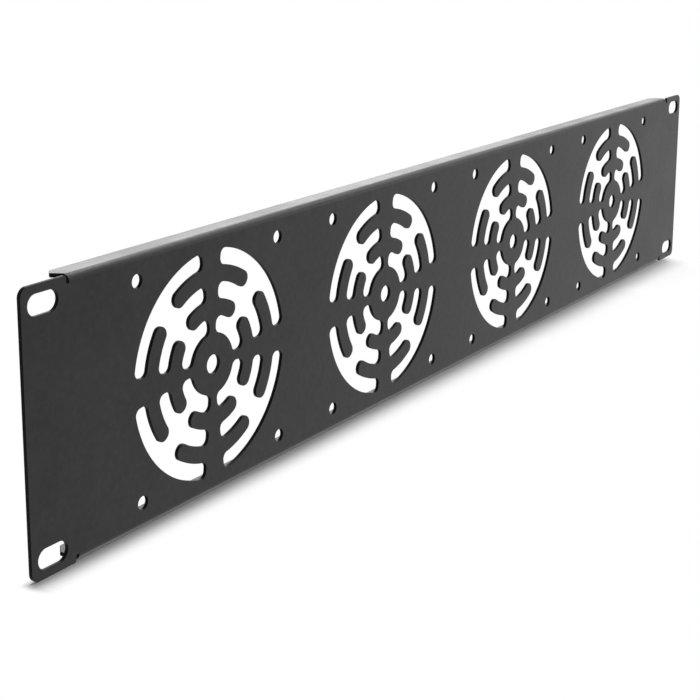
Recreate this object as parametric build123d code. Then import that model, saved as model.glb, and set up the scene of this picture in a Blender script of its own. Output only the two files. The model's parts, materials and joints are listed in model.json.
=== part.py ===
from build123d import *
from math import atan2, degrees, isclose, radians, tan
import os

# Two-unit 19-inch rack panel for four 80 mm fans, made from one steel sheet. The sheet is cut flat, and its
# two long edges are then folded back into flanges. X runs along the panel, Y into the rack and Z up. The
# origin is the middle of the panel, on the sheet's back, where the ears meet the rack's rails.

# Sheet and outline, in millimetres and degrees. The thickness is 1.2 mm of steel with its powder coat.
panel_width = 482.6
panel_height = 88.1
sheet_thickness = 1.3
ear_width = 19.3
ear_corner_radius = 3.0

# Folds along the top and bottom edges, which lean in a little past square. Behind the folds the flanges' ends
# flare out, and their rear corners are cut off. Notches free the folds' ends from the ears.
flange_depth = 9.8
flange_lean = 4.6
flange_flare = 1.2
flange_corner_cut = 3.0
bend_inner_radius = 1.0
relief_width = 1.7
relief_overrun = 0.2
relief_corner_radius = 1.0

# Slots for the rack's screws
slot_length = 12.0
slot_height = 6.5
slot_from_side = 8.75
slot_from_edge = 5.95

# Fans, and the holes for the screws that hold them
fan_count = 4
fan_pitch = 105.0
fan_screw_spacing = 71.5
fan_screw_hole = 4.5

# Finger guard cut in front of each fan
guard_diameter = 77.0
hub_diameter = 21.0
hub_hole = 6.5
ring_slot_count = 3
spoke_angle = 15.0
diagonal_gap_angle = 15.0
slot_end_radius = 2.0
finger_tip_radius = 2.6

# Times that a guard's corners are cut across in turn: two cuts leave three flats on the corner's radius
corner_cuts = 2

# Largest share of a short edge that a rounded corner may take at each of its ends
corner_share = 0.48

# Sizes that follow from those above
bend_outer_radius = bend_inner_radius + sheet_thickness
fold_centre = panel_height / 2 - bend_outer_radius
flange_length = panel_width - 2 * ear_width
notch_length = flange_length + 2 * relief_width
notch_depth = bend_outer_radius + relief_overrun
slot_spacing_x = panel_width - 2 * slot_from_side
slot_spacing_z = panel_height - 2 * slot_from_edge
ring_step = (guard_diameter - hub_diameter) / 2 / (2 * ring_slot_count - 1)


def sheet_solid(outline):
    """The solid of an outline drawn in X and Z, as thick as the sheet."""
    return extrude(Plane.XZ * outline, amount=sheet_thickness)


def face_outline():
    """The flat face with its ears, cut back along each fold as far as the ears' rounded notches."""
    outline = RectangleRounded(panel_width, panel_height, ear_corner_radius)
    for edge in (Align.MAX, Align.MIN):
        side = 1 if edge == Align.MAX else -1
        notch = Rectangle(notch_length, notch_depth, align=(Align.CENTER, edge))
        outline -= Pos(0, side * panel_height / 2) * notch
    corners = outline.vertices().filter_by(lambda corner: isclose(abs(corner.X), notch_length / 2))
    return fillet(corners, min(relief_corner_radius, corner_share * notch_depth))


def bend_section(front, radius):
    """A section in Y and Z from a front line to the flanges' rear, its front corners rounded for the folds."""
    corner = fold_centre + radius * tan(radians(45 + flange_lean / 2))
    rear = corner - (flange_depth - front) * tan(radians(flange_lean))
    ends = [(front, corner), (front, -corner), (flange_depth, -rear), (flange_depth, rear)]
    section = Polygon(*ends, align=None)
    return fillet(section.vertices().group_by(Axis.X)[0], radius)


def flange_plan():
    """The folded length from above: its ends flare behind the folds, and its rear corners are cut off."""
    foot = flange_length / 2
    tip = foot + flange_flare
    rear = flange_depth - sheet_thickness
    right = [(foot, -sheet_thickness), (foot, bend_inner_radius)]
    right += [(tip, rear - flange_corner_cut), (tip - flange_corner_cut, rear)]
    left = [(-x, y) for x, y in reversed(right)]
    return Polygon(*right, *left, align=None)


def folded_length():
    """The length between the ears: face, both folds and both flanges as one bent section."""
    section = bend_section(0, bend_outer_radius) - bend_section(sheet_thickness, bend_inner_radius)
    reach = flange_length / 2 + flange_flare
    folded = extrude(Plane.YZ * Pos(-sheet_thickness) * section, amount=reach, both=True)
    return folded & extrude(flange_plan(), amount=panel_height, both=True)


def ring_sector(inner_radius, outer_radius, start, end):
    """A flat piece of a ring, between two radii and two angles."""
    inner = CenterArc((0, 0), inner_radius, start, end - start)
    outer = CenterArc((0, 0), outer_radius, start, end - start)
    return make_face([inner, outer, Line(inner @ 0, outer @ 0), Line(inner @ 1, outer @ 1)])


def at_finger_tip(corner):
    """Whether a corner of a guard opening is on a finger's tip, near the diagonal, or else at a spoke."""
    return abs(degrees(atan2(corner.Y, corner.X)) - 45) < 45 / 2


def at_slot_end(corner):
    """Whether a corner of a guard opening is on a ring slot's end, at a spoke."""
    return not at_finger_tip(corner)


def cut_corners(outline):
    """A guard opening whose square corners are cut across in turn, which leaves flats that lie on a radius."""
    largest = corner_share * ring_step
    for cut in range(corner_cuts):
        half_turn = radians(45 / 2**cut)
        share = tan(half_turn) - tan(half_turn / 2)
        tips = outline.vertices().filter_by(at_finger_tip)
        outline = chamfer(tips, share * min(finger_tip_radius, largest))
        ends = outline.vertices().filter_by(at_slot_end)
        outline = chamfer(ends, share * min(slot_end_radius, largest))
    return outline


def guard_quadrant():
    """One of a guard's four openings: ring slots that run together along the diagonal, between fingers."""
    hub_radius = hub_diameter / 2
    half_spoke = spoke_angle / 2
    half_gap = diagonal_gap_angle / 2
    opening = ring_sector(hub_radius, guard_diameter / 2, half_spoke, 90 - half_spoke)
    for ring in range(1, ring_slot_count):
        finger_outer = hub_radius + 2 * ring * ring_step
        finger_inner = finger_outer - ring_step
        opening -= ring_sector(finger_inner, finger_outer, 0, 45 - half_gap)
        opening -= ring_sector(finger_inner, finger_outer, 45 + half_gap, 90)
    return cut_corners(opening)


def fan_cuts():
    """All that is cut for one fan: the four guard openings, the hub's hole and the screw holes."""
    quadrant = guard_quadrant()
    cuts = Circle(hub_hole / 2)
    for turn in range(4):
        cuts += Rot(0, 0, 90 * turn) * quadrant
    for place in GridLocations(fan_screw_spacing, fan_screw_spacing, 2, 2):
        cuts += place * Circle(fan_screw_hole / 2)
    return cuts


def fan_panel():
    """The whole panel: face, ears and flanges in one piece, less the fan cuts and the rack slots."""
    one_fan = fan_cuts()
    cuts = Sketch()
    for place in GridLocations(fan_pitch, 0, fan_count, 1):
        cuts += place * one_fan
    for place in GridLocations(slot_spacing_x, slot_spacing_z, 2, 2):
        cuts += place * SlotOverall(slot_length, slot_height)
    return sheet_solid(face_outline()) + folded_length() - sheet_solid(cuts)


os.makedirs("parts", exist_ok=True)
export_step(fan_panel(), "parts/fan_panel.step")
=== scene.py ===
import json
import logging
import math
from dataclasses import dataclass
from enum import Enum, IntEnum

import bmesh
import bpy
from mathutils import Matrix, Vector


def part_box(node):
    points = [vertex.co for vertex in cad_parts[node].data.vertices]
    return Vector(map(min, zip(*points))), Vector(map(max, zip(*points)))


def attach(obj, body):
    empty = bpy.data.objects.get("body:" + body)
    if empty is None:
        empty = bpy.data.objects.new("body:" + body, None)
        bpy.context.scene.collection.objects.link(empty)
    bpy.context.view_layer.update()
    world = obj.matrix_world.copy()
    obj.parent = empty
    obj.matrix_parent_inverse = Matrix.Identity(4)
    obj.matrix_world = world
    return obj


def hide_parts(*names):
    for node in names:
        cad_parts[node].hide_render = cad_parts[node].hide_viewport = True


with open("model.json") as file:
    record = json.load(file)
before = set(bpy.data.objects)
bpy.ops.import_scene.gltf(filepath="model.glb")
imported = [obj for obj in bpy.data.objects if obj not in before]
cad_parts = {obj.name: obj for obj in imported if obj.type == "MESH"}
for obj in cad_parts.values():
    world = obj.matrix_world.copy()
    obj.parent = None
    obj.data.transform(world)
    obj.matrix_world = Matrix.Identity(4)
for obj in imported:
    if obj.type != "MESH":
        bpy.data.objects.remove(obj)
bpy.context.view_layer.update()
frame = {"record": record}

# Two-unit 19-inch rack panel for four fans: one steel sheet, cut flat, folded along its long edges and
# powder-coated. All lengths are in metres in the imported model's own frame: X along the panel, Y into the
# rack and Z up. The sheet's back lies at Y = 0, and its painted front faces -Y.

MM = 0.001
FULL_TURN = 2 * math.pi
QUARTER_TURN = math.pi / 2
DIAGONAL = math.pi / 4
WHITE = (1.0, 1.0, 1.0, 1.0)
LOG = logging.getLogger("rack_fan_panel")

# A point lies on the flat sheet, in X and Z, and a corner there has a radius too. A polar point has a radius
# and an angle. A place is in X, Y and Z.
Point = tuple[float, float]
Loop = list[Point]
Corner = tuple[float, float, float]
Polar = tuple[float, float]
Place = tuple[float, float, float]
Colour = tuple[float, float, float]
Edges = list[bmesh.types.BMEdge]


class Fold(Enum):
    """The two long edges that are folded back, by the side of the panel that they lie on."""

    TOP = 1
    BOTTOM = -1


class Shape(Enum):
    """What a closed line bounds, which decides the side of it that the metal is on."""

    OUTLINE = 1
    OPENING = -1


class Ray(Enum):
    """Kinds of light ray, by the socket that tells them."""

    CAMERA = "Is Camera Ray"
    GLOSSY = "Is Glossy Ray"
    TRANSMISSION = "Is Transmission Ray"


class ColourMix(IntEnum):
    """Sockets of a Mix node for colours, by number, because others on it have the same names."""

    FACTOR = 0
    RESULT = 2
    FIRST = 6
    SECOND = 7


# Shader nodes


class Signal:
    """An output socket of a node sheet, with which sums and products are written as plain expressions."""

    def __init__(self, sheet: "NodeSheet", socket: bpy.types.NodeSocket) -> None:
        """Keeps the sheet and the socket."""
        self.sheet = sheet
        self.socket = socket

    def _math(self, operation: str, first: "Signal | float", second: "Signal | float") -> "Signal":
        """A Math node on two terms."""
        return self.sheet.add("ShaderNodeMath", {"operation": operation}, {0: first, 1: second})

    def __add__(self, other: "Signal | float") -> "Signal":
        """This signal plus another."""
        return self._math("ADD", self, other)

    def __radd__(self, other: float) -> "Signal":
        """A number plus this signal."""
        return self._math("ADD", other, self)

    def __sub__(self, other: "Signal | float") -> "Signal":
        """This signal less another."""
        return self._math("SUBTRACT", self, other)

    def __rsub__(self, other: float) -> "Signal":
        """A number less this signal."""
        return self._math("SUBTRACT", other, self)

    def __mul__(self, other: "Signal | float") -> "Signal":
        """This signal times another."""
        return self._math("MULTIPLY", self, other)

    def __rmul__(self, other: float) -> "Signal":
        """A number times this signal."""
        return self._math("MULTIPLY", other, self)

    def __pow__(self, other: float) -> "Signal":
        """This signal raised to a power."""
        return self._math("POWER", self, other)

    def __or__(self, other: "Signal | float") -> "Signal":
        """The larger of two signals, which for two flags means either of them."""
        return self._math("MAXIMUM", self, other)


class NodeSheet:
    """The node tree of one material or world, emptied and ready for new nodes."""

    def __init__(self, owner: bpy.types.Material | bpy.types.World) -> None:
        """Empties the owner's node tree.

        Args:
            owner: the material or world that the nodes belong to.
        """
        owner.use_nodes = True
        self.tree = owner.node_tree
        self.tree.nodes.clear()

    def place(
        self,
        kind: str,
        settings: dict[str, object],
        sockets: dict[str | int, object],
    ) -> bpy.types.Node:
        """Places one node on the sheet.

        Args:
            kind: the node's Blender type.
            settings: properties of the node, set before its sockets.
            sockets: values or signals for the input sockets, by name or number.

        Returns:
            The new node.
        """
        node = self.tree.nodes.new(kind)
        for name, value in settings.items():
            setattr(node, name, value)
        for name, value in sockets.items():
            if isinstance(value, Signal):
                self.tree.links.new(value.socket, node.inputs[name])
            else:
                node.inputs[name].default_value = value
        return node

    def add(
        self,
        kind: str,
        settings: dict[str, object] | None = None,
        sockets: dict[str | int, object] | None = None,
        out: str | int = 0,
    ) -> Signal:
        """Places one node and takes one of its outputs.

        Args:
            kind: the node's Blender type.
            settings: properties of the node.
            sockets: values or signals for the input sockets, by name or number.
            out: the output socket that the result stands for, by name or number.

        Returns:
            The chosen output socket as a signal.
        """
        node = self.place(kind, settings or {}, sockets or {})
        return Signal(self, node.outputs[out])

    def mix(self, factor: Signal, first: Signal, second: Signal) -> Signal:
        """A shader that is the first where the factor is 0, and the second where it is 1."""
        return self.add("ShaderNodeMixShader", sockets={0: factor, 1: first, 2: second})

    def ray(self, kind: Ray) -> Signal:
        """A flag for rays of one kind."""
        return self.add("ShaderNodeLightPath", out=kind.value)

    def seen_directly(self) -> Signal:
        """A flag for rays that show the background: to the camera, in a reflection or through glass."""
        return self.ray(Ray.CAMERA) | self.ray(Ray.GLOSSY) | self.ray(Ray.TRANSMISSION)

    def finish(self, kind: str, surface: Signal) -> None:
        """Leads a shader to the output node of the given type."""
        self.place(kind, {}, {"Surface": surface})


# Finishes


@dataclass(frozen=True)
class PowderCoat:
    """Matt black powder coat, as the baked powder leaves it.

    Three layers of noise share its tone: a fine grain, a soft wave like orange peel, and broad faint clouds.
    """

    name: str = "black_powder_coat"
    colour: Colour = (0.0015, 0.0015, 0.0016)
    pale_colour: Colour = (0.021, 0.021, 0.0218)
    roughness: float = 0.36
    roughness_spread: float = 0.08
    refraction: float = 1.37
    grain_size: float = 0.32 * MM
    grain_depth: float = 0.012 * MM
    grain_share: float = 0.25
    wave_size: float = 2.2 * MM
    wave_depth: float = 0.010 * MM
    wave_share: float = 0.3
    cloud_size: float = 22.0 * MM
    cloud_share: float = 0.45
    rich_detail: float = 3.0
    plain_detail: float = 1.0
    noise_low: float = 0.3
    noise_high: float = 0.7

    def material(self) -> bpy.types.Material:
        """Builds the material.

        Returns:
            The powder coat as a Blender material.
        """
        material = bpy.data.materials.new(self.name)
        sheet = NodeSheet(material)
        place = sheet.add("ShaderNodeTexCoord", out="Object")
        grain = self.noise(sheet, place, self.grain_size, self.rich_detail)
        wave = self.noise(sheet, place, self.wave_size, self.plain_detail)
        cloud = self.noise(sheet, place, self.cloud_size, self.rich_detail)
        paleness = cloud * self.cloud_share + wave * self.wave_share + grain * self.grain_share
        tone = sheet.add(
            "ShaderNodeMix",
            {"data_type": "RGBA"},
            {
                ColourMix.FACTOR: paleness,
                ColourMix.FIRST: (*self.colour, 1.0),
                ColourMix.SECOND: (*self.pale_colour, 1.0),
            },
            out=ColourMix.RESULT,
        )
        relief = grain * (self.grain_depth / MM) + wave * (self.wave_depth / MM)
        spread = (grain + cloud) * self.roughness_spread
        shader = sheet.add(
            "ShaderNodeBsdfPrincipled",
            sockets={
                "Base Color": tone,
                "Roughness": spread + (self.roughness - self.roughness_spread),
                "IOR": self.refraction,
                "Normal": sheet.add("ShaderNodeBump", sockets={"Distance": MM, "Height": relief}),
            },
        )
        sheet.finish("ShaderNodeOutputMaterial", shader)
        return material

    def noise(self, sheet: NodeSheet, place: Signal, size: float, detail: float) -> Signal:
        """Soft noise, stretched to fill the range from 0 to 1.

        Args:
            sheet: the nodes to add to.
            place: where on the object the noise is read.
            size: about how wide one spot of the noise is.
            detail: how many finer layers lie on it.

        Returns:
            The noise's value.
        """
        spots = {"Vector": place, "Scale": 1.0 / size, "Detail": detail}
        return sheet.add(
            "ShaderNodeMapRange",
            {"interpolation_type": "SMOOTHSTEP"},
            {
                "Value": sheet.add("ShaderNodeTexNoise", sockets=spots),
                "From Min": self.noise_low,
                "From Max": self.noise_high,
            },
        )


FACE_COAT = PowderCoat()

# Painted shade: the cut walls get a darker coat that reflects less, standing in for the dark reflections on
# them
PAINTED_SHADE_WALLS = PowderCoat(
    name="thin_wall_coat",
    colour=(0.003, 0.003, 0.003),
    pale_colour=(0.006, 0.006, 0.006),
    refraction=1.12,
)


@dataclass(frozen=True)
class PaleFloor:
    """Plain studio floor, which is white to look at and keeps the panel's real shadow only close to it.

    Painted light: the floor's real shade is mixed into white emission with the distance from a line along the
    panel's foot, so the shadow's reach is painted. The speeds say how fast it does so: in front of the line's
    left end and right end, past both ends, and behind the panel.
    """

    left_end: float
    right_end: float
    name: str = "pale_floor"
    colour: Colour = (0.85, 0.85, 0.85)
    glow: float = 0.035
    fade_start: float = 1.2 * MM
    fade_end: float = 16.6 * MM
    left_speed: float = 1.5
    right_speed: float = 0.42
    end_speed: float = 3.0
    behind_speed: float = 5.0

    def material(self) -> bpy.types.Material:
        """Builds the material.

        Returns:
            The floor's material.
        """
        material = bpy.data.materials.new(self.name)
        sheet = NodeSheet(material)
        matt = sheet.add("ShaderNodeBsdfDiffuse", sockets={"Color": (*self.colour, 1.0)})
        white = sheet.add("ShaderNodeEmission", sockets={"Color": WHITE, "Strength": 1.0})
        glow = sheet.add("ShaderNodeEmission", sockets={"Color": WHITE, "Strength": self.glow})
        shaded = sheet.add("ShaderNodeAddShader", sockets={0: matt, 1: glow})
        # Painted light: away from the panel's foot the real shade is mixed to white, which paints the
        # shadow's reach.
        photographed = sheet.mix(self.painted_shadow_fade(sheet), shaded, white)
        looked_at = sheet.mix(sheet.ray(Ray.CAMERA), white, photographed)
        sheet.finish("ShaderNodeOutputMaterial", sheet.mix(sheet.seen_directly(), matt, looked_at))
        return material

    def painted_shadow_fade(self, sheet: NodeSheet) -> Signal:
        """How far the floor's real shade is painted over with white at a place of the floor, as painted
        light.

        Args:
            sheet: the nodes to add to.

        Returns:
            0 beside the panel, rising to 1 away from it.
        """
        place = sheet.add("ShaderNodeTexCoord", out="Object")
        along = sheet.add("ShaderNodeSeparateXYZ", sockets={0: place}, out="X")
        across = sheet.add("ShaderNodeSeparateXYZ", sockets={0: place}, out="Y")
        beyond = ((along - self.right_end) | (self.left_end - along) | 0.0) * self.end_speed
        aside = (0.0 - across) | (across * self.behind_speed)
        distance = (beyond * beyond + aside * aside) ** 0.5
        speed = sheet.add(
            "ShaderNodeMapRange",
            sockets={
                "Value": along,
                "From Min": self.left_end,
                "From Max": self.right_end,
                "To Min": self.left_speed,
                "To Max": self.right_speed,
            },
        )
        return sheet.add(
            "ShaderNodeMapRange",
            {"interpolation_type": "SMOOTHSTEP"},
            {"Value": distance * speed, "From Min": self.fade_start, "From Max": self.fade_end},
        )


# Lines of the cut sheet


def arc_points(centre: Point, radius: float, start: float, end: float, step: float) -> Loop:
    """Points along an arc, both ends included.

    Args:
        centre: the arc's centre.
        radius: its radius.
        start: angle of its first point.
        end: angle of its last point.
        step: largest angle between two points.

    Returns:
        The points in order.
    """
    count = max(1, math.ceil(abs(end - start) / step))
    angles = (start + (end - start) * n / count for n in range(count + 1))
    return [(centre[0] + radius * math.cos(a), centre[1] + radius * math.sin(a)) for a in angles]


def rounded_polygon(corners: list[Corner], step: float) -> Loop:
    """A closed line with straight sides and rounded corners.

    Args:
        corners: places and radii of the corners, in order.
        step: largest angle between two points of a rounded corner.

    Returns:
        The line's points.
    """
    line: Loop = []
    for n, (x, z, radius) in enumerate(corners):
        here = Vector((x, z))
        before = (Vector(corners[n - 1][:2]) - here).normalized()
        after = (Vector(corners[(n + 1) % len(corners)][:2]) - here).normalized()
        half = before.angle(after) / 2
        reach = radius / math.tan(half)
        centre = here + (before + after).normalized() * (radius / math.sin(half))
        start = here + before * reach - centre
        turn = start.angle_signed(here + after * reach - centre)
        first = math.atan2(start.y, start.x)
        line += arc_points(tuple(centre), radius, first, first - turn, step)
    return line


def moved(line: Loop, by: Point) -> Loop:
    """The line, shifted along both axes."""
    return [(x + by[0], z + by[1]) for x, z in line]


def turned(line: Loop, angle: float) -> Loop:
    """The line, turned round the origin."""
    c, s = math.cos(angle), math.sin(angle)
    return [(c * x - s * z, s * x + c * z) for x, z in line]


def directed(line: Loop, shape: Shape, shortest: float) -> list[Vector]:
    """A closed line without repeated points, in the direction that has the metal on its left.

    Args:
        line: the closed line, in either direction.
        shape: what the line bounds.
        shortest: points that are no further apart than this are one point.

    Returns:
        The line's points.
    """
    pairs = [(Vector(line[n - 1]), Vector(point)) for n, point in enumerate(line)]
    points = [point for last, point in pairs if (point - last).length > shortest]
    area = sum(points[n - 1].x * point.y - points[n - 1].y * point.x for n, point in enumerate(points))
    if area * shape.value < 0:
        points.reverse()
    return points


def inward_steps(points: list[Vector]) -> list[Vector]:
    """The way from each point of a directed line into the metal, by which both sides there move in by 1.

    Args:
        points: the line's points, with the metal on its left.

    Returns:
        One step for each point.
    """
    steps = []
    for n, point in enumerate(points):
        following = points[(n + 1) % len(points)]
        one = (point - points[n - 1]).normalized()
        two = (following - point).normalized()
        mean = (one + two).normalized()
        steps.append(Vector((-mean.y, mean.x)) / mean.dot(one))
    return steps


@dataclass(frozen=True)
class FingerGuard:
    """The guard that is cut in front of one fan: four spokes, a hub, and fingers between ring slots."""

    diameter: float = 77.0 * MM
    hub_diameter: float = 21.0 * MM
    hub_hole: float = 6.5 * MM
    ring_slots: int = 3
    half_spoke: float = math.radians(7.5)
    half_gap: float = math.radians(7.5)
    end_radius: float = 2.3 * MM
    tip_radius: float = 2.65 * MM
    corner_step: float = math.radians(9)
    ring_step: float = math.radians(3)

    def round_at(self, angle: float) -> float:
        """The radius of a corner: larger on a finger's tip, near the diagonal, than at a slot's end."""
        return self.tip_radius if abs(angle - DIAGONAL) < DIAGONAL / 2 else self.end_radius

    def corners(self) -> list[Polar]:
        """Corners of one opening, from the end of its outer slot inwards and out again.

        Returns:
            Radius and angle of each corner. Every other side is an arc, and the rest are radial.
        """
        bands = 2 * self.ring_slots - 1
        band = (self.diameter - self.hub_diameter) / 2 / bands
        radii = [self.diameter / 2 - band * n for n in range(bands + 1)]
        ends = (QUARTER_TURN - self.half_spoke, DIAGONAL + self.half_gap)
        inward: list[Polar] = []
        for n in range(bands):
            inward += [(radii[n], ends[n % 2]), (radii[n + 1], ends[n % 2])]
        return inward + [(radius, QUARTER_TURN - angle) for radius, angle in reversed(inward)]

    def rounded_corner(self, corners: list[Polar], n: int) -> tuple[float, Loop]:
        """Rounds one corner of an opening. An arc ends at each even corner, and one begins at each odd one.

        Args:
            corners: all corners of the opening.
            n: the number of the corner to round.

        Returns:
            The angle where the rounding meets the arc, and the rounding's points in the opening's order.
        """
        radius, angle = corners[n]
        before = corners[n - 1]
        after = corners[(n + 1) % len(corners)]
        arc_ends = n % 2 == 0
        on_arc, on_line = (before, after) if arc_ends else (after, before)
        along = math.copysign(1, on_arc[1] - angle)
        out = math.copysign(1, on_line[0] - radius)
        bend_radius = self.round_at(angle)
        far = radius + out * bend_radius
        around = angle + along * math.asin(bend_radius / far)
        centre = (far * math.cos(around), far * math.sin(around))
        start = around if out < 0 else around + math.pi
        sweep = math.remainder(angle - along * QUARTER_TURN - start, FULL_TURN)
        bend = arc_points(centre, bend_radius, start, start + sweep, self.corner_step)
        return around, bend if arc_ends else bend[::-1]

    def opening(self) -> Loop:
        """One of the guard's four openings, with all its corners rounded.

        Returns:
            The opening's closed line.
        """
        corners = self.corners()
        rounds = [self.rounded_corner(corners, n) for n in range(len(corners))]
        line: Loop = []
        for n, (around, bend) in enumerate(rounds):
            line += bend
            if n % 2 == 1:
                until = rounds[(n + 1) % len(rounds)][0]
                line += arc_points((0, 0), corners[n][0], around, until, self.ring_step)[1:-1]
        return line

    def cuts(self) -> list[Loop]:
        """All lines of the guard round the fan's middle.

        Returns:
            The hub's hole and the four openings.
        """
        hole = arc_points((0, 0), self.hub_hole / 2, 0, FULL_TURN, self.corner_step)[:-1]
        return [hole] + [turned(self.opening(), n * QUARTER_TURN) for n in range(4)]


# The panel


@dataclass
class FanPanel:
    """The whole panel: flat face, two slotted ears, two folded flanges and the guards, all of one sheet."""

    coat: PowderCoat
    painted_shade_walls: PowderCoat
    guard: FingerGuard
    high: Vector
    mounts: list[dict]
    name: str = "folded_panel"
    thickness: float = 1.3 * MM
    bend_inner: float = 1.0 * MM
    lean: float = math.radians(4.6)
    ear_width: float = 19.3 * MM
    ear_corner: float = 3.0 * MM
    notch_width: float = 1.15 * MM
    notch_overrun: float = 0.2 * MM
    notch_corner: float = 0.5 * MM
    ear_inner_corner: float = 0.8 * MM
    flange_flare: float = 1.2 * MM
    flange_cut: float = 3.0 * MM
    flange_corner: float = 0.6 * MM
    edge_round: float = 0.15 * MM
    edge_steps: int = 4
    bend_steps: int = 14
    corner_step: float = math.radians(9)
    round_hole_stretch: float = 1.0001
    shortest_side: float = 1e-3 * MM
    row_tolerance: float = 1e-5 * MM

    def __post_init__(self) -> None:
        """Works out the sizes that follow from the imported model's box and the sheet."""
        self.half_width = self.high.x
        self.half_height = self.high.z
        self.flange_end = self.half_width - self.ear_width
        self.ear_start = self.flange_end + self.notch_width / 2
        self.bend_outer = self.bend_inner + self.thickness
        self.bend_line = self.half_height - self.bend_outer
        self.turn = QUARTER_TURN + self.lean
        self.crease = self.bend_line + (self.bend_inner + self.thickness / 2) * self.turn
        past_bend = self.high.y - self.bend_inner + self.bend_outer * math.cos(self.turn)
        self.rear_edge = self.crease + past_bend / math.sin(self.turn)

    def outline(self) -> Loop:
        """The flat sheet's outer line, with both flanges laid flat.

        Returns:
            The closed line.
        """
        notch = self.flange_end + self.notch_width
        foot = self.bend_line - self.notch_overrun
        tip = self.flange_end + self.flange_flare
        quarter = [
            (self.half_width, self.half_height, self.ear_corner),
            (notch, self.half_height, self.ear_inner_corner),
            (notch, foot, self.notch_corner),
            (self.flange_end, foot, self.notch_corner),
            (self.flange_end, self.crease, self.flange_corner),
            (tip, self.rear_edge - self.flange_cut, self.flange_corner),
            (tip - self.flange_cut, self.rear_edge, self.flange_corner),
        ]
        upper = quarter + [(-x, z, radius) for x, z, radius in reversed(quarter)]
        return rounded_polygon(upper + [(-x, -z, radius) for x, z, radius in upper], self.corner_step)

    def hole(self, radius: float, length: float) -> Loop:
        """A slot with round ends, or a round hole, which is a slot a hair longer than it is high.

        Args:
            radius: the radius of the ends.
            length: the slot's whole length, or 0 for a round hole.

        Returns:
            The closed line round the origin.
        """
        reach = max(length / 2, radius * self.round_hole_stretch)
        ends = ((reach, -radius), (reach, radius), (-reach, radius), (-reach, -radius))
        return rounded_polygon([(x, z, radius) for x, z in ends], self.corner_step)

    def cuts(self) -> list[Loop]:
        """Every line that is cut inside the outline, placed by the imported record's mounts.

        Returns:
            The closed lines of the guards, screw holes and rack slots.
        """
        lines: list[Loop] = []
        for mount in self.mounts:
            if mount["kind"] != "bolt_pattern":
                continue
            sizes = mount["dims"]
            middle = (mount["pos_m"][0], mount["pos_m"][2])
            hole = self.hole(sizes["hole_r_mm"] * MM, sizes.get("slot_length_mm", 0) * MM)
            for right in (-1, 1):
                for up in (-1, 1):
                    x = middle[0] + right * sizes["spacing_x_mm"] * MM / 2
                    z = middle[1] + up * sizes["spacing_y_mm"] * MM / 2
                    lines.append(moved(hole, (x, z)))
            if "slot_length_mm" not in sizes:
                lines += [moved(line, middle) for line in self.guard.cuts()]
        return lines

    def rim_profile(self) -> list[Point]:
        """The rounded edge of the coated sheet, from its front to its back.

        Returns:
            How far each ring of points lies in from the line, and how far behind the front.
        """
        middle = (self.edge_round, self.edge_round)
        step = QUARTER_TURN / self.edge_steps
        front = arc_points(middle, self.edge_round, -QUARTER_TURN, -math.pi, step)
        return front + [(inset, self.thickness - depth) for inset, depth in reversed(front)]

    def add_rim(self, mesh: bmesh.types.BMesh, line: Loop, shape: Shape) -> tuple[Edges, Edges]:
        """Builds the sheet's edge along one closed line, its rows past the first in the darker, shade-painted
        wall coat.

        Args:
            mesh: the mesh to add to.
            line: the closed line, in either direction.
            shape: what the line bounds.

        Returns:
            The edges where the front face and the back face begin.
        """
        points = directed(line, shape, self.shortest_side)
        steps = inward_steps(points)
        rings = []
        for inset, depth in self.rim_profile():
            spots = (point + step * inset for point, step in zip(points, steps))
            rings.append([mesh.verts.new((spot.x, depth - self.thickness, spot.y)) for spot in spots])
        for row, (ring, following) in enumerate(zip(rings, rings[1:])):
            for n in range(len(points)):
                face = mesh.faces.new((ring[n - 1], ring[n], following[n], following[n - 1]))
                # Rows past the first take the darker wall coat: painted shade on the cut walls.
                face.material_index = int(row > 0)
        front, back = rings[0], rings[-1]
        front_edges = [mesh.edges.get((front[n - 1], front[n])) for n in range(len(points))]
        back_edges = [mesh.edges.get((back[n - 1], back[n])) for n in range(len(points))]
        return front_edges, back_edges

    def flat_sheet(self) -> bmesh.types.BMesh:
        """The cut sheet before it is folded.

        Returns:
            A closed mesh of the flat sheet.
        """
        mesh = bmesh.new()
        front, back = self.add_rim(mesh, self.outline(), Shape.OUTLINE)
        for line in self.cuts():
            more_front, more_back = self.add_rim(mesh, line, Shape.OPENING)
            front += more_front
            back += more_back
        for edges in (front, back):
            bmesh.ops.triangle_fill(mesh, use_beauty=True, use_dissolve=False, edges=edges)
        bmesh.ops.recalc_face_normals(mesh, faces=mesh.faces)
        return mesh

    def fold(self, mesh: bmesh.types.BMesh, edge: Fold) -> None:
        """Bends one long edge back between the ears, a little past a right angle.

        Args:
            mesh: the flat sheet.
            edge: the edge to fold.
        """
        length = self.crease - self.bend_line
        for n in range(self.bend_steps + 1):
            row = edge.value * (self.bend_line + length * n / self.bend_steps)
            bmesh.ops.bisect_plane(
                mesh,
                geom=[*mesh.verts, *mesh.edges, *mesh.faces],
                dist=self.row_tolerance,
                plane_co=(0, 0, row),
                plane_no=(0, 0, 1),
            )
        for vert in mesh.verts:
            height = vert.co.z * edge.value
            past = height - self.bend_line
            on_ear = abs(vert.co.x) > self.ear_start and height < self.half_height + self.edge_round
            if past <= 0 or on_ear:
                continue
            radius = self.bend_inner - vert.co.y
            angle = min(past / length, 1.0) * self.turn
            straight = max(past - length, 0.0)
            rise = radius * math.sin(angle) + straight * math.cos(angle)
            vert.co.y = self.bend_inner - radius * math.cos(angle) + straight * math.sin(angle)
            vert.co.z = edge.value * (self.bend_line + rise)

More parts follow.
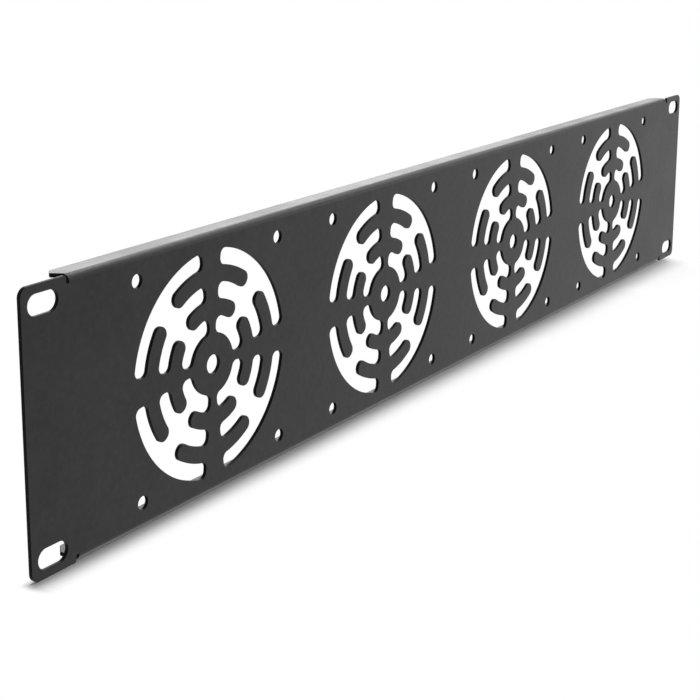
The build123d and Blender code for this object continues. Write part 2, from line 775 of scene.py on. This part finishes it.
    def build(self) -> bpy.types.Object:
        """Cuts, folds and coats the sheet.

        Returns:
            The panel's object.
        """
        mesh = self.flat_sheet()
        for edge in Fold:
            self.fold(mesh, edge)
        data = bpy.data.meshes.new(self.name)
        mesh.to_mesh(data)
        mesh.free()
        data.shade_smooth()
        panel = bpy.data.objects.new(self.name, data)
        bpy.context.scene.collection.objects.link(panel)
        self.dress(panel)
        return panel

    def dress(self, panel: bpy.types.Object) -> None:
        """Coats the panel, makes its flat faces look flat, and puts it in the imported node's place.

        Args:
            panel: the folded panel.
        """
        # The second coat is darker and paints shade on the cut walls.
        for finish in (self.coat, self.painted_shade_walls):
            panel.data.materials.append(finish.material())
        panel.modifiers.new("flat_faces", "WEIGHTED_NORMAL")
        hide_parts("fan_panel")
        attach(panel, "root")


# The studio


@dataclass(frozen=True)
class SoftLamp:
    """A flat soft lamp that is aimed at a point."""

    name: str
    place: Place
    aim: Place
    size: tuple[float, float]
    radiance: float

    def build(self) -> bpy.types.Object:
        """Hangs the lamp, with its long side level.

        Returns:
            The lamp's object.
        """
        light = bpy.data.lights.new(self.name, "AREA")
        light.shape = "RECTANGLE"
        light.size, light.size_y = self.size
        light.energy = self.radiance * math.pi * self.size[0] * self.size[1]
        lamp = bpy.data.objects.new(self.name, light)
        lamp.location = self.place
        lamp.rotation_euler = (Vector(self.aim) - Vector(self.place)).to_track_quat("-Z", "Y").to_euler()
        lamp.visible_camera = False
        bpy.context.scene.collection.objects.link(lamp)
        return lamp


@dataclass
class Studio:
    """White floor and surroundings, with a soft strip overhead and five softboxes round the panel."""

    floor_finish: PaleFloor
    floor_level: float
    floor_reach: float = 6.0
    floor_squares: int = 4
    ambient: float = 0.25
    lamps: tuple[SoftLamp, ...] = (
        SoftLamp(
            name="overhead_strip",
            place=(0.22, 0.09, 1.0),
            aim=(0.22, 0.09, 0.0),
            size=(1.2, 0.16),
            radiance=15.4,
        ),
        SoftLamp(
            name="back_softbox",
            place=(0.63, 0.85, 0.32),
            aim=(-0.2, 0.0, 0.32),
            size=(1.0, 0.75),
            radiance=1.35,
        ),
        SoftLamp(
            name="side_softbox",
            place=(1.30, 0.337, 0.32),
            aim=(0.16, -0.033, 0.32),
            size=(0.58, 0.75),
            radiance=1.1,
        ),
        SoftLamp(
            name="high_softbox",
            place=(0.75, 0.78, 0.64),
            aim=(-0.12, 0.0, -0.04),
            size=(0.7, 0.36),
            radiance=3.0,
        ),
        SoftLamp(
            name="front_softbox",
            place=(0.74, -0.31, 0.72),
            aim=(-0.12, 0.0, 0.04),
            size=(0.55, 0.5),
            radiance=1.9,
        ),
        SoftLamp(
            name="low_softbox",
            place=(0.68, -0.60, 0.17),
            aim=(-0.12, 0.0, 0.0),
            size=(0.46, 0.32),
            radiance=1.3,
        ),
    )

    def build(self) -> None:
        """Lays the floor, hangs the lamps and sets the surroundings."""
        self.lay_floor()
        for lamp in self.lamps:
            lamp.build()
        self.set_surroundings()

    def lay_floor(self) -> None:
        """Lays the floor under the panel's lower edge."""
        mesh = bmesh.new()
        squares = self.floor_squares
        bmesh.ops.create_grid(mesh, x_segments=squares, y_segments=squares, size=self.floor_reach)
        data = bpy.data.meshes.new("studio_floor")
        mesh.to_mesh(data)
        mesh.free()
        floor = bpy.data.objects.new("studio_floor", data)
        floor.location.z = self.floor_level
        data.materials.append(self.floor_finish.material())
        bpy.context.scene.collection.objects.link(floor)

    def set_surroundings(self) -> None:
        """Makes the surroundings white to look at and a dim, even fill for the rest."""
        world = bpy.data.worlds.new("white_surroundings")
        sheet = NodeSheet(world)
        fill = sheet.add("ShaderNodeBackground", sockets={"Color": WHITE, "Strength": self.ambient})
        white = sheet.add("ShaderNodeBackground", sockets={"Color": WHITE, "Strength": 1.0})
        sheet.finish("ShaderNodeOutputWorld", sheet.mix(sheet.seen_directly(), fill, white))
        bpy.context.scene.world = world
        bpy.context.scene.view_settings.view_transform = "Standard"


@dataclass
class PhotoCamera:
    """The camera at the photograph's viewing angle, for a square picture.

    The lens and the sensor are in millimetres, as Blender's cameras count them.
    """

    place: Place = (-523.4 * MM, -298.4 * MM, 152.8 * MM)
    heading: float = math.radians(56.33)
    dip: float = math.radians(12.17)
    roll: float = math.radians(0.20)
    lens: float = 77.34
    sensor: float = 36.0
    shift: float = -0.2
    nearest: float = 10.0 * MM
    farthest: float = 50.0

    def build(self) -> bpy.types.Object:
        """Makes the camera and gives it to the scene.

        Returns:
            The camera's object.
        """
        data = bpy.data.cameras.new("photo_camera")
        data.sensor_width = self.sensor
        data.lens = self.lens
        data.shift_y = self.shift
        data.clip_start = self.nearest
        data.clip_end = self.farthest
        camera = bpy.data.objects.new("photo_camera", data)
        level = Vector((math.cos(self.heading), -math.sin(self.heading), 0))
        onward = Vector((math.sin(self.heading), math.cos(self.heading), 0))
        ahead = onward * math.cos(self.dip) - Vector((0, 0, math.sin(self.dip)))
        right = level * math.cos(self.roll) + level.cross(ahead) * math.sin(self.roll)
        axes = Matrix((right, right.cross(ahead), -ahead)).transposed().to_4x4()
        camera.matrix_world = Matrix.Translation(self.place) @ axes
        bpy.context.scene.collection.objects.link(camera)
        bpy.context.scene.camera = camera
        return camera


def main() -> None:
    """Builds the panel, the studio and the camera."""
    logging.basicConfig(level=logging.INFO, format="%(name)s: %(message)s")
    low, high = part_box("fan_panel")
    fan_panel = FanPanel(FACE_COAT, PAINTED_SHADE_WALLS, FingerGuard(), high, frame["record"]["mounts"])
    panel = fan_panel.build()
    LOG.info("%s: %d faces", panel.name, len(panel.data.polygons))
    floor = PaleFloor(left_end=low.x, right_end=fan_panel.flange_end)
    Studio(floor, floor_level=low.z).build()
    LOG.info("studio: floor at %.2f mm", low.z / MM)
    camera = PhotoCamera().build()
    LOG.info("%s: %.1f mm lens", camera.name, camera.data.lens)
    bpy.context.view_layer.update()


if __name__ == "__main__":
    main()
